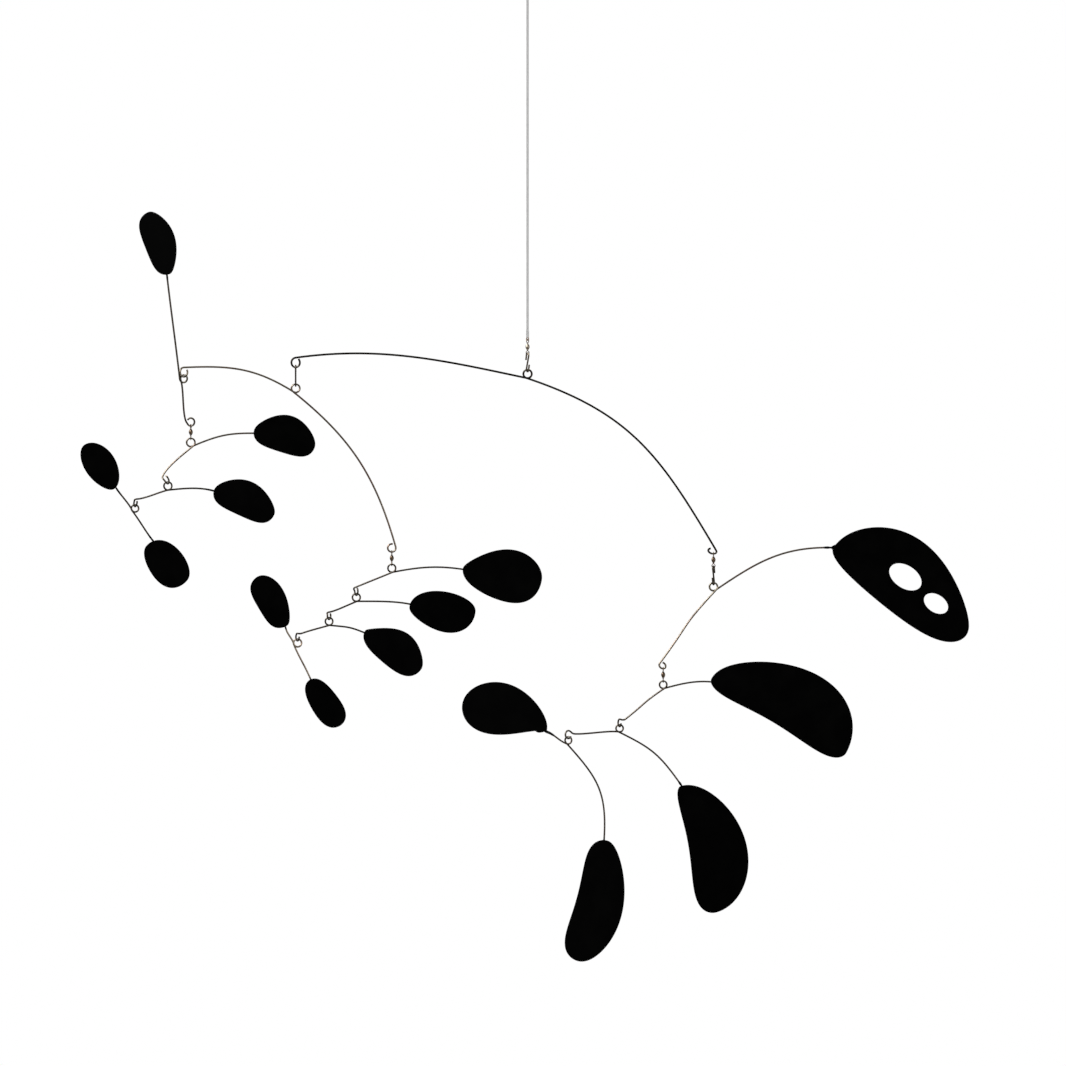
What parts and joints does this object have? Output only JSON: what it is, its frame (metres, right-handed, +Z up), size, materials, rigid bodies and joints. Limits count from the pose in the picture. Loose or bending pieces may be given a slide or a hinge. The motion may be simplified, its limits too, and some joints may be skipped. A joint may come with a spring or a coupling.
{
  "type": "hanging mobile sculpture",
  "caption": "Hanging mobile: bent wire arms hooked below one another on S-hooks and swivels, with flat black leaf-shaped plates at their ends, on a cord below a ceiling fitting.",
  "frame": {"origin": "middle of the ceiling fitting's flat top face, which the ceiling holds", "axes": "+Z up along the cord, +X to the right and the viewer looks along +Y, square to the spread of the arms"},
  "size_m": [1.0662, 0.0665, 1.1705],
  "materials": {
    "wire": "bare steel wire, dark and slightly brown",
    "leaf": "flat black paint",
    "swivel": "dark bronze plating",
    "cord": "light grey, smooth",
    "fitting": "satin grey"
  },
  "bodies": {
    "hanger": {"ceiling_fitting": "fitting", "cord": "cord", "cord_sleeve": "cord", "main_arm_swivel_upper_eye": "swivel", "main_arm_swivel_barrel": "swivel"},
    "main_arm": {"main_arm_swivel_lower_eye": "swivel", "main_arm_s_hook": "wire", "main_arm": "wire", "left_arm_s_hook": "wire", "right_arm_swivel_upper_eye": "swivel", "right_arm_swivel_barrel": "swivel"},
    "left_arm": {"left_arm": "wire", "middle_fan_arm_1_swivel_upper_eye": "swivel", "middle_fan_arm_1_swivel_barrel": "swivel"},
    "mast_arm": {"mast_arm": "wire", "mast_leaf": "leaf", "upper_fan_arm_1_swivel_upper_eye": "swivel", "upper_fan_arm_1_swivel_barrel": "swivel"},
    "upper_fan_arm_1": {"upper_fan_arm_1_swivel_lower_eye": "swivel", "upper_fan_arm_1": "wire", "upper_fan_leaf_1": "leaf"},
    "upper_fan_arm_2": {"upper_fan_arm_2": "wire", "upper_fan_leaf_2": "leaf"},
    "upper_fan_arm_3": {"upper_fan_arm_3": "wire", "upper_fan_leaf_3": "leaf", "upper_fan_leaf_4": "leaf"},
    "middle_fan_arm_1": {"middle_fan_arm_1_swivel_lower_eye": "swivel", "middle_fan_arm_1": "wire", "middle_fan_leaf_1": "leaf"},
    "middle_fan_arm_2": {"middle_fan_arm_2": "wire", "middle_fan_leaf_2": "leaf"},
    "middle_fan_arm_3": {"middle_fan_arm_3": "wire", "middle_fan_leaf_3": "leaf"},
    "middle_fan_arm_4": {"middle_fan_arm_4": "wire", "middle_fan_leaf_4": "leaf", "middle_fan_leaf_5": "leaf"},
    "right_arm": {"right_arm_swivel_lower_eye": "swivel", "right_arm_s_hook": "wire", "right_arm": "wire", "pierced_leaf": "leaf", "right_fan_arm_1_swivel_upper_eye": "swivel", "right_fan_arm_1_swivel_barrel": "swivel"},
    "right_fan_arm_1": {"right_fan_arm_1_swivel_lower_eye": "swivel", "right_fan_arm_1": "wire", "right_fan_leaf_1": "leaf"},
    "right_fan_arm_2": {"right_fan_arm_2": "wire", "right_fan_leaf_2": "leaf"},
    "right_fan_arm_3": {"right_fan_arm_3": "wire", "right_fan_leaf_3": "leaf", "right_fan_leaf_4": "leaf"}
  },
  "joints": [
    {"name": "main_arm_turn", "type": "hinge", "parent": "hanger", "child": "main_arm", "pos_m": [0, 0, -0.466], "axis": [0, 0, 1], "continuous": true},
    {"name": "left_arm_turn", "type": "hinge", "parent": "main_arm", "child": "left_arm", "pos_m": [-0.2783, -0.00158, -0.48331], "axis": [0, 0, 1], "range_deg": [-34, 32]},
    {"name": "mast_arm_turn", "type": "hinge", "parent": "left_arm", "child": "mast_arm", "pos_m": [-0.41209, -0.01726, -0.47193], "axis": [0, 0, 1], "range_deg": [-75, 10]},
    {"name": "upper_fan_arm_1_turn", "type": "hinge", "parent": "mast_arm", "child": "upper_fan_arm_1", "pos_m": [-0.40374, -0.01946, -0.54833], "axis": [0, 0, 1], "continuous": true},
    {"name": "upper_fan_arm_2_turn", "type": "hinge", "parent": "upper_fan_arm_1", "child": "upper_fan_arm_2", "pos_m": [-0.43117, -0.02133, -0.60051], "axis": [0, 0, 1], "range_deg": [-53, 7]},
    {"name": "upper_fan_arm_3_turn", "type": "hinge", "parent": "upper_fan_arm_2", "child": "upper_fan_arm_3", "pos_m": [-0.47073, -0.01737, -0.6274], "axis": [0, 0, 1], "range_deg": [-2, 56]},
    {"name": "middle_fan_arm_1_turn", "type": "hinge", "parent": "left_arm", "child": "middle_fan_arm_1", "pos_m": [-0.16305, 0.01162, -0.69921], "axis": [0, 0, 1], "range_deg": [-150, 150]},
    {"name": "middle_fan_arm_2_turn", "type": "hinge", "parent": "middle_fan_arm_1", "child": "middle_fan_arm_2", "pos_m": [-0.20567, 0.01568, -0.73421], "axis": [0, 0, 1], "range_deg": [-23, 68]},
    {"name": "middle_fan_arm_3_turn", "type": "hinge", "parent": "middle_fan_arm_2", "child": "middle_fan_arm_3", "pos_m": [-0.23836, 0.011, -0.76301], "axis": [0, 0, 1], "range_deg": [-58, 27]},
    {"name": "middle_fan_arm_4_turn", "type": "hinge", "parent": "middle_fan_arm_3", "child": "middle_fan_arm_4", "pos_m": [-0.27623, 0.01305, -0.78891], "axis": [0, 0, 1], "range_deg": [-21, 68]},
    {"name": "right_arm_turn", "type": "hinge", "parent": "main_arm", "child": "right_arm", "pos_m": [0.22311, 0.00133, -0.7214], "axis": [0, 0, 1], "range_deg": [-150, 150]},
    {"name": "right_fan_arm_1_turn", "type": "hinge", "parent": "right_arm", "child": "right_fan_arm_1", "pos_m": [0.16269, -0.005, -0.83892], "axis": [0, 0, 1], "continuous": true},
    {"name": "right_fan_arm_2_turn", "type": "hinge", "parent": "right_fan_arm_1", "child": "right_fan_arm_2", "pos_m": [0.11039, -0.00154, -0.89122], "axis": [0, 0, 1], "range_deg": [-22, 64]},
    {"name": "right_fan_arm_3_turn", "type": "hinge", "parent": "right_fan_arm_2", "child": "right_fan_arm_3", "pos_m": [0.0489, -0.01163, -0.90555], "axis": [0, 0, 1], "range_deg": [-75, 7]}
  ]
}
